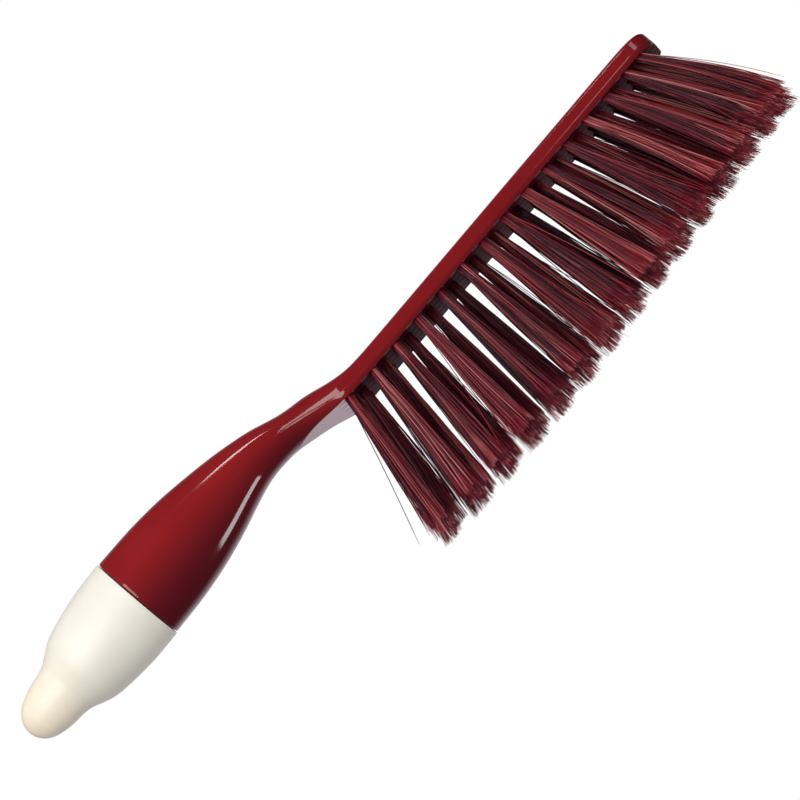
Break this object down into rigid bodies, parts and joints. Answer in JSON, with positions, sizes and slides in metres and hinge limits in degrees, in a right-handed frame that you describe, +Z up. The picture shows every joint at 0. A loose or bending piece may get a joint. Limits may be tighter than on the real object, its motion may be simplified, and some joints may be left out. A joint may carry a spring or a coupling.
{
  "type": "hand brush",
  "caption": "Long-handled hand brush with a flat head of fanned filament tufts, a bulb-shaped grip and a rounded plug cap.",
  "frame": {"origin": "below the middle of the brush, on the surface that the bristle tips stand on", "axes": "+X along the brush to the head's free end, +Y across, +Z up, away from the bristles"},
  "size_m": [0.3642, 0.0454, 0.0943],
  "materials": {
    "red_body": "glossy moulded",
    "cream_cap": "satin moulded",
    "wine_bristles": "extruded filament",
    "maroon_bristles": "extruded filament",
    "anchor_wire": "drawn flat wire"
  },
  "bodies": {
    "root": {"anchor_wires_row_1": "anchor_wire", "anchor_wires_row_2": "anchor_wire", "anchor_wires_row_3": "anchor_wire", "anchor_wires_row_4": "anchor_wire", "anchor_wires_row_5": "anchor_wire", "brush_body": "red_body", "end_cap": "cream_cap", "tufts_even_rows_column_01": "maroon_bristles", "tufts_even_rows_column_02": "maroon_bristles", "tufts_even_rows_column_03": "maroon_bristles", "tufts_even_rows_column_04": "maroon_bristles", "tufts_even_rows_column_05": "maroon_bristles", "tufts_even_rows_column_06": "maroon_bristles", "tufts_even_rows_column_07": "maroon_bristles", "tufts_even_rows_column_08": "maroon_bristles", "tufts_even_rows_column_09": "maroon_bristles", "tufts_even_rows_column_10": "maroon_bristles", "tufts_even_rows_column_11": "maroon_bristles", "tufts_even_rows_column_12": "maroon_bristles", "tufts_even_rows_column_13": "maroon_bristles", "tufts_even_rows_column_14": "maroon_bristles", "tufts_odd_rows_column_01": "wine_bristles", "tufts_odd_rows_column_02": "wine_bristles", "tufts_odd_rows_column_03": "wine_bristles", "tufts_odd_rows_column_04": "wine_bristles", "tufts_odd_rows_column_05": "wine_bristles", "tufts_odd_rows_column_06": "wine_bristles", "tufts_odd_rows_column_07": "wine_bristles", "tufts_odd_rows_column_08": "wine_bristles", "tufts_odd_rows_column_09": "wine_bristles", "tufts_odd_rows_column_10": "wine_bristles", "tufts_odd_rows_column_11": "wine_bristles", "tufts_odd_rows_column_12": "wine_bristles", "tufts_odd_rows_column_13": "wine_bristles", "tufts_odd_rows_column_14": "wine_bristles", "tufts_odd_rows_column_15": "wine_bristles"}
  },
  "joints": []
}
